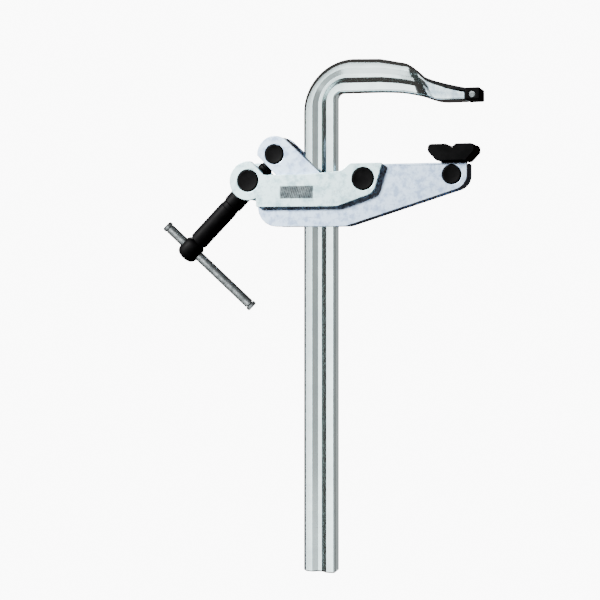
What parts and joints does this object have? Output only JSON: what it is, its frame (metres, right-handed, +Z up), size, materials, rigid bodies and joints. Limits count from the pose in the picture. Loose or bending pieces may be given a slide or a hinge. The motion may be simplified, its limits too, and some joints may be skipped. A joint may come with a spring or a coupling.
{
  "type": "bar clamp",
  "caption": "Bar clamp bent from one grooved rail, with a sliding power jaw that a cross-handled rear spindle tilts shut on a V-notched swivel pad.",
  "frame": {"origin": "middle of the fixed jaw's clamping face, on the underside of the bent rail", "axes": "+Z up along the rail from its foot to the fixed jaw, +X from the rail out to the jaws, +Y through the clamp's thickness from its front side to its rear side"},
  "size_m": [0.2687, 0.0359, 0.4153],
  "materials": {
    "plated_steel": "bright zinc-plated steel, satin",
    "plain_steel": "bare steel, lightly oiled",
    "black_oxide": "black-oxide steel, satin"
  },
  "bodies": {
    "rail": {"rail": "plated_steel", "tip_cap": "black_oxide", "tip_pin": "plated_steel"},
    "slide": {"front_cheek": "plated_steel", "rear_cheek": "plated_steel", "rear_shoe": "plain_steel", "front_shoe": "plain_steel", "rear_shoe_rivet": "plated_steel", "front_shoe_rivet": "plated_steel", "fulcrum_pin": "black_oxide"},
    "lever": {"front_lever_plate": "plated_steel", "rear_lever_plate": "plated_steel", "fulcrum_bush": "plain_steel", "lever_spacer": "plain_steel", "spacer_rivet": "plated_steel", "pad_pin": "black_oxide"},
    "pad": {"pressure_pad": "black_oxide"},
    "nut": {"barrel_nut": "black_oxide"},
    "trunnion": {"trunnion_barrel": "black_oxide"},
    "spindle": {"spindle": "black_oxide", "thrust_washer": "plain_steel", "thrust_collar": "black_oxide", "spindle_sleeve": "black_oxide", "spindle_circlip": "plain_steel", "thread_stop_ring": "black_oxide"},
    "handle": {"tommy_bar": "plated_steel", "upper_bar_ring": "plated_steel", "lower_bar_ring": "plated_steel"}
  },
  "joints": [
    {"name": "slide_travel", "type": "slide", "parent": "rail", "child": "slide", "axis": [0, 0, 1], "range_m": [-0.27, 0.024]},
    {"name": "jaw_tilt", "type": "hinge", "parent": "slide", "child": "lever", "pos_m": [-0.071, 0, -0.0603], "axis": [0, -1, 0], "range_deg": [-3, 4.5]},
    {"name": "trunnion_swing", "type": "hinge", "parent": "slide", "child": "trunnion", "pos_m": [-0.1685, 0, -0.0603], "axis": [0, -1, 0], "range_deg": [-6.5, 4.5]},
    {"name": "spindle_turn", "type": "hinge", "parent": "trunnion", "child": "spindle", "pos_m": [-0.1685, 0, -0.0603], "axis": [0.7071, 0, 0.7071], "range_deg": [-400, 630]},
    {"name": "nut_swing", "type": "hinge", "parent": "lever", "child": "nut", "pos_m": [-0.147, 0, -0.0388], "axis": [0, -1, 0], "range_deg": [-11, 7]},
    {"name": "pad_swivel", "type": "hinge", "parent": "lever", "child": "pad", "pos_m": [-0.0005, 0, -0.058], "axis": [0, -1, 0], "range_deg": [-5, 5]},
    {"name": "tommy_slide", "type": "slide", "parent": "spindle", "child": "handle", "axis": [0.689, 0.225, -0.689], "range_m": [-0.057, 0.015]}
  ],
  "couplings": [
    {"joint": "jaw_tilt", "follows": "spindle_turn", "ratio": 0.0069255},
    {"joint": "trunnion_swing", "follows": "spindle_turn", "ratio": -0.0095433},
    {"joint": "nut_swing", "follows": "spindle_turn", "ratio": -0.016469}
  ]
}
